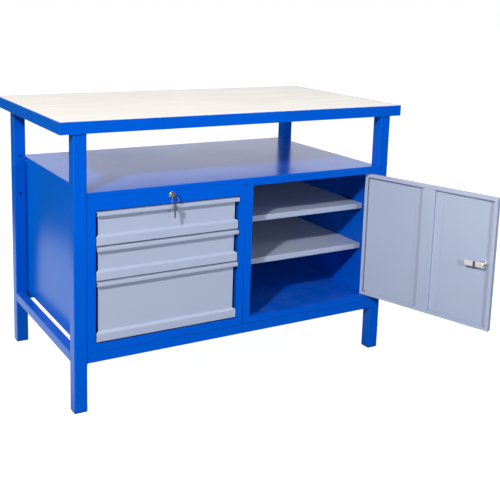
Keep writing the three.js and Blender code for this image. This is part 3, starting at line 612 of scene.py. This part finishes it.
bracket_steel = 0.0015
rivets_per_bracket = 4
floor_rivet = (1.0067, 0.2663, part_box("cupboard_floor")[1].z)
cupboard_rivets = [(floor_rivet, (0, 0, 1))]
for bracket in brackets:
    lo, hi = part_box(bracket)
    left = bracket.endswith("left")
    x = lo.x + bracket_steel if left else hi.x - bracket_steel
    z = lo.z + (hi.z - lo.z) / 3
    inwards = (1 if left else -1, 0, 0)
    cupboard_rivets += [((x, y, z), inwards) for y in spread(lo.y, hi.y, rivets_per_bracket)]
rivet_row("cupboard_rivets", cupboard_rivets, "bench")


# Drawers.
# Each front is one folded sheet with a rolled finger lip, and carries a welded tray. Zinc plated angle rails
# on the tray slide on angle runners on the cabinet walls. Both are fixed with blind rivets.

drawers = ("drawer_upper", "drawer_middle", "drawer_lower")
painted = [f"{drawer}_{part}" for part in ("front", "tray") for drawer in drawers]
slides = [
    f"{drawer}_{part}_{side}" for drawer in drawers for part in ("rail", "runner") for side in ("left", "right")
]
soften_edges(painted, radius=0.00045)
soften_edges(slides, radius=0.0004)
finish_in(grey_paint, painted)
finish_in(zinc, slides)

slide_steel = 0.0015
rivets_per_rail, rail_rivet_height = 5, 0.6
rivets_per_runner, runner_rivet_height = 4, 0.65
runner_rivets = []
for drawer in drawers:
    rail_rivets = []
    for side, inwards in (("left", 1), ("right", -1)):
        lo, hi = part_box(f"{drawer}_rail_{side}")
        x = hi.x - slide_steel if side == "left" else lo.x + slide_steel
        z = lo.z + (hi.z - lo.z) * rail_rivet_height
        rail_rivets += [((x, y, z), (-inwards, 0, 0)) for y in spread(lo.y, hi.y, rivets_per_rail)]
        lo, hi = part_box(f"{drawer}_runner_{side}")
        x = lo.x + slide_steel if side == "left" else hi.x - slide_steel
        z = lo.z + (hi.z - lo.z) * runner_rivet_height
        runner_rivets += [((x, y, z), (inwards, 0, 0)) for y in spread(lo.y, hi.y, rivets_per_runner)]
    rivet_row(f"{drawer}_rivets", rail_rivets, drawer)
rivet_row("runner_rivets", runner_rivets, "bench")


# Drawer lock with its keys.
# A chromed cylinder lock through the rail over the drawers, with a flat steel key in it. A split wire ring
# through the key's bow carries the spare.

def polished_metal(name, colour, shade, roughness, scratch_scale):
    """Bright metal with fine rubbed scratches and a little tarnish."""
    material, tree, surface = new_material(name)
    place = object_place(tree)
    rubbed = noise(tree, place, scale=scratch_scale, detail=5.0, roughness=0.7)
    tarnish = noise(tree, place, scale=120.0, detail=3.0, roughness=0.6)
    tone = mix_colours(tree, tarnish, colour, shade)
    matt = rescale(tree, rubbed, given=(0.0, 1.0), wanted=(roughness * 0.6, roughness * 1.5))
    dress_surface(tree, surface, tone, matt, bump(tree, rubbed, depth=0.00001))
    surface.inputs["Metallic"].default_value = 1.0
    return material


chrome = polished_metal(
    "chrome plate",
    colour=(0.96, 0.96, 0.96, 1),
    shade=(0.90, 0.90, 0.91, 1),
    roughness=0.15,
    scratch_scale=900.0,
)
key_steel = polished_metal(
    "nickel key steel",
    colour=(0.38, 0.35, 0.33, 1),
    shade=(0.25, 0.23, 0.22, 1),
    roughness=0.36,
    scratch_scale=700.0,
)
lock_parts = ["drawer_lock_body", "drawer_lock_core"]
keys = ["drawer_key", "spare_key"]
soften_edges(lock_parts + keys, radius=0.00035)
soften_edges(["key_ring"], radius=0.0001)
finish_in(chrome, lock_parts + ["key_ring"])
finish_in(key_steel, keys)


# Door.
# A sheet steel pan with folded edges and a hat-section stiffener down the middle, painted grey. It turns on
# two zinc plated pins, and a chromed lock drives a cranked cam behind its free edge.

door_sheets = ["door_panel", "door_stiffener"]
door_lock = ["door_lock_body", "door_lock_cam"]
hinge_pins = ["hinge_pin_upper", "hinge_pin_lower"]
soften_edges(door_sheets, radius=0.00045)
soften_edges(door_lock + hinge_pins, radius=0.0004)
finish_in(grey_paint, door_sheets)
finish_in(chrome, door_lock)
finish_in(zinc, hinge_pins)


# Floor, light and camera.
# A plain white studio: a key light at the upper left, a small cool lamp in front, and weak soft boxes above and
# at the sides. The camera sees white all round, while gloss mirrors a bright back wall and a dim front.

def flat_plate(name, size, height):
    """A square of floor round the bench."""
    mesh = bpy.data.meshes.new(name)
    half = size / 2
    mesh.from_pydata(
        [(-half, -half, height), (half, -half, height), (half, half, height), (-half, half, height)],
        [],
        [(0, 1, 2, 3)],
    )
    plate = bpy.data.objects.new(name, mesh)
    bpy.context.scene.collection.objects.link(plate)
    return plate


def distance_along(tree, place, direction):
    """How far a place lies along a direction."""
    made = add_node(tree, "ShaderNodeVectorMath", operation="DOT_PRODUCT")
    for socket, content in zip(made.inputs, (place, direction)):
        fill_socket(tree, socket, content)
    return made.outputs["Value"]


def choose_shader(tree, rays, others, chosen):
    """One shader for the rays of a kind, and one for all others."""
    made = add_node(tree, "ShaderNodeMixShader")
    for socket, content in zip(made.inputs, (rays, others.outputs[0], chosen.outputs[0])):
        tree.links.new(content, socket)
    return made


def pale_floor(name):
    """White to the eye with a trace of shadow. Gloss mirrors a pale sweep at the left and left rear only."""
    material, tree, surface = new_material(name)
    place = object_place(tree)
    apart = add_node(tree, "ShaderNodeSeparateXYZ", Vector=place).outputs
    across = distance_along(tree, place, (1.0, -0.25, 0.0))
    near = rescale(tree, across, given=(-0.98, -0.80), wanted=(0.02, 1.0))
    behind = rescale(tree, apart["Y"], given=(0.0, 0.6), wanted=(0.04, 1.0))
    beside = rescale(tree, apart["X"], given=(-0.1, 0.05), wanted=(1.0, 0.04))
    before = rescale(tree, apart["Y"], given=(-0.4, -0.1), wanted=(1.0, 0.0))
    clear = calculate(tree, "MAXIMUM", behind, beside)
    reach = calculate(tree, "MAXIMUM", near, before)
    sweep_strength = 0.86
    sweep = calculate(tree, "MULTIPLY", calculate(tree, "MULTIPLY", reach, clear), sweep_strength)
    mirrored = add_node(tree, "ShaderNodeEmission", Strength=sweep)
    surface.inputs["Roughness"].default_value = 0.9
    surface.inputs["Specular IOR Level"].default_value = 0.1
    surface.inputs["Base Color"].default_value = (0.18, 0.18, 0.18, 1)
    shaded = add_node(tree, "ShaderNodeBsdfDiffuse", Color=(0.30, 0.30, 0.31, 1))
    glow = add_node(tree, "ShaderNodeEmission", Strength=0.94)
    seen = add_node(tree, "ShaderNodeAddShader")
    tree.links.new(shaded.outputs[0], seen.inputs[0])
    tree.links.new(glow.outputs[0], seen.inputs[1])
    path = add_node(tree, "ShaderNodeLightPath").outputs
    unseen = choose_shader(tree, path["Is Glossy Ray"], others=surface, chosen=mirrored)
    choice = choose_shader(tree, path["Is Camera Ray"], others=unseen, chosen=seen)
    tree.links.new(choice.outputs[0], tree.nodes["Material Output"].inputs["Surface"])
    return material


floor = flat_plate("studio_floor", size=60.0, height=-0.0005)
floor.data.materials.append(pale_floor("white floor"))


def soft_light(name, place, target, size, power, colour):
    """A square soft box aimed at a point."""
    lamp = bpy.data.lights.new(name, "AREA")
    lamp.size = size
    lamp.energy = power
    lamp.color = colour
    box = bpy.data.objects.new(name, lamp)
    box.location = place
    box.rotation_euler = (Vector(target) - Vector(place)).to_track_quat("-Z", "Y").to_euler()
    bpy.context.scene.collection.objects.link(box)
    return box


white, cool, warm = (1, 1, 1), (0.74, 0.84, 1.0), (1.0, 0.95, 0.45)
bench_middle = (0.54, 0.30, 0.45)
# Each light: name, place, target, size, power in watts, colour, and whether gloss mirrors it.
for name, place, target, size, power, colour, mirrored in (
    ("key_light", (-2.78, -2.55, 3.05), (0.45, 0.0, 0.42), 0.28, 205.0, white, True),
    ("overhead_light", (1.2, 0.45, 2.9), bench_middle, 2.0, 13.0, white, True),
    ("front_light", (0.58, -2.05, 1.06), (0.45, 0.0, 0.45), 0.05, 18.0, cool, False),
    ("right_light", (1.60, -2.30, 2.60), (0.6, 0.0, 0.4), 0.9, 9.0, white, False),
    ("camera_light", (-1.20, -2.20, 0.75), bench_middle, 0.6, 3.0, white, False),
    ("left_light", (-2.60, 1.50, 1.00), bench_middle, 1.2, 45.0, warm, False),
):
    soft_light(name, place, target, size, power, colour).visible_glossy = mirrored


def white_room():
    """White as seen by the camera. As a light it is bright behind the bench and dim in front and at the left."""
    room = bpy.data.worlds.new("white room")
    room.use_nodes = True
    tree = room.node_tree
    direction = add_node(tree, "ShaderNodeTexCoord").outputs["Generated"]
    depth = distance_along(tree, direction, (0.35, 0.94, 0.0))
    height = add_node(tree, "ShaderNodeSeparateXYZ", Vector=direction).outputs["Z"]
    walls = rescale(tree, depth, given=(-0.7, 0.7), wanted=(0.16, 1.10))
    ceiling = rescale(tree, height, given=(0.2, 0.8), wanted=(1.0, 0.45))
    lighting = tree.nodes["Background"]
    lighting.inputs["Color"].default_value = (1, 1, 1, 1)
    tree.links.new(calculate(tree, "MULTIPLY", walls, ceiling), lighting.inputs["Strength"])
    backdrop = add_node(tree, "ShaderNodeBackground", Color=(1, 1, 1, 1))
    path = add_node(tree, "ShaderNodeLightPath").outputs
    choice = choose_shader(tree, path["Is Camera Ray"], others=lighting, chosen=backdrop)
    tree.links.new(choice.outputs[0], tree.nodes["World Output"].inputs["Surface"])
    return room


bpy.context.scene.world = white_room()
bpy.context.scene.view_settings.view_transform = "Standard"

lens = bpy.data.cameras.new("camera")
lens.sensor_width = 36.0
lens.lens = 61.348
lens.shift_x = 0.04
lens.shift_y = -0.20
camera = bpy.data.objects.new("camera", lens)
bpy.context.scene.collection.objects.link(camera)
camera_place = (-0.7961, -2.2279, 1.2077)
camera_turn, camera_rise, camera_roll = (math.radians(angle) for angle in (-29.965, 10.206, 1.551))
backwards = Vector((
    math.sin(camera_turn) * math.cos(camera_rise),
    -math.cos(camera_turn) * math.cos(camera_rise),
    math.sin(camera_rise),
))
level = Vector((math.cos(camera_turn), math.sin(camera_turn), 0))
upwards = backwards.cross(level)
right = math.cos(camera_roll) * level + math.sin(camera_roll) * upwards
up = math.cos(camera_roll) * upwards - math.sin(camera_roll) * level
camera_axes = Matrix((right, up, backwards)).transposed().to_4x4()
camera.matrix_world = Matrix.Translation(camera_place) @ camera_axes
bpy.context.scene.camera = camera


# Bring the scene up to date.

bpy.context.view_layer.update()
